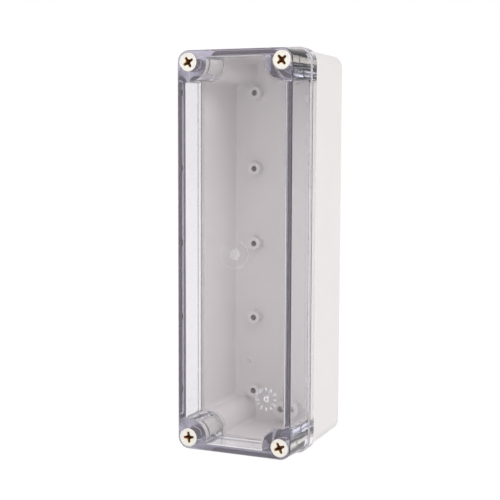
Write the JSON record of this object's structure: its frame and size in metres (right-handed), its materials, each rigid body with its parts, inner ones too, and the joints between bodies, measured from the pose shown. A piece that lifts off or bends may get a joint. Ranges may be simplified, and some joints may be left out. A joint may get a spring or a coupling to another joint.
{
  "type": "junction box enclosure",
  "caption": "Long narrow sealed electrical enclosure: opaque base with floor bosses, deep clear lid, rim seal and cross-recess nylon lid screws at the corners",
  "frame": {"origin": "middle of the bottom of the bounding box, with the box standing on one short end", "axes": "+Z along the length, upward as pictured; +X across the width; -Y out of the clear lid's face; +Y out of the wall-mounting back face"},
  "size_m": [0.08, 0.085, 0.25],
  "materials": {
    "base_abs": "light warm grey moulded ABS, fine matt texture",
    "lid_polycarbonate": "clear polycarbonate, faint blue-grey tint at the edges",
    "seal_rubber": "grey silicone rubber",
    "screw_nylon": "natural cream nylon",
    "ring_rubber": "dark rubber"
  },
  "bodies": {
    "box": {"base": "base_abs"},
    "lid": {"clear_lid": "lid_polycarbonate", "lid_seal": "seal_rubber"},
    "ring_top_left": {"screw_ring_top_left": "ring_rubber"},
    "screw_top_left": {"lid_screw_top_left": "screw_nylon"},
    "ring_top_right": {"screw_ring_top_right": "ring_rubber"},
    "screw_top_right": {"lid_screw_top_right": "screw_nylon"},
    "ring_bottom_left": {"screw_ring_bottom_left": "ring_rubber"},
    "screw_bottom_left": {"lid_screw_bottom_left": "screw_nylon"},
    "ring_bottom_right": {"screw_ring_bottom_right": "ring_rubber"},
    "screw_bottom_right": {"lid_screw_bottom_right": "screw_nylon"}
  },
  "joints": [
    {"name": "lid_lift_off", "type": "slide", "parent": "box", "child": "lid", "axis": [0, -1, 0], "range_m": [0, 0.06]},
    {"name": "screw_back_out_top_left", "type": "slide", "parent": "lid", "child": "ring_top_left", "axis": [0, -1, 0], "range_m": [0, 0.0105]},
    {"name": "screw_turn_top_left", "type": "hinge", "parent": "ring_top_left", "child": "screw_top_left", "pos_m": [-0.0306, 0, 0.2406], "axis": [0, -1, 0], "range_deg": [0, 1512]},
    {"name": "screw_back_out_top_right", "type": "slide", "parent": "lid", "child": "ring_top_right", "axis": [0, -1, 0], "range_m": [0, 0.0105]},
    {"name": "screw_turn_top_right", "type": "hinge", "parent": "ring_top_right", "child": "screw_top_right", "pos_m": [0.0306, 0, 0.2406], "axis": [0, -1, 0], "range_deg": [0, 1512]},
    {"name": "screw_back_out_bottom_left", "type": "slide", "parent": "lid", "child": "ring_bottom_left", "axis": [0, -1, 0], "range_m": [0, 0.0105]},
    {"name": "screw_turn_bottom_left", "type": "hinge", "parent": "ring_bottom_left", "child": "screw_bottom_left", "pos_m": [-0.0306, 0, 0.0094], "axis": [0, -1, 0], "range_deg": [0, 1512]},
    {"name": "screw_back_out_bottom_right", "type": "slide", "parent": "lid", "child": "ring_bottom_right", "axis": [0, -1, 0], "range_m": [0, 0.0105]},
    {"name": "screw_turn_bottom_right", "type": "hinge", "parent": "ring_bottom_right", "child": "screw_bottom_right", "pos_m": [0.0306, 0, 0.0094], "axis": [0, -1, 0], "range_deg": [0, 1512]}
  ],
  "couplings": [
    {"joint": "screw_turn_top_left", "follows": "screw_back_out_top_left", "rad_per_m": 2513.3},
    {"joint": "screw_turn_top_right", "follows": "screw_back_out_top_right", "rad_per_m": 2513.3},
    {"joint": "screw_turn_bottom_left", "follows": "screw_back_out_bottom_left", "rad_per_m": 2513.3},
    {"joint": "screw_turn_bottom_right", "follows": "screw_back_out_bottom_right", "rad_per_m": 2513.3}
  ]
}
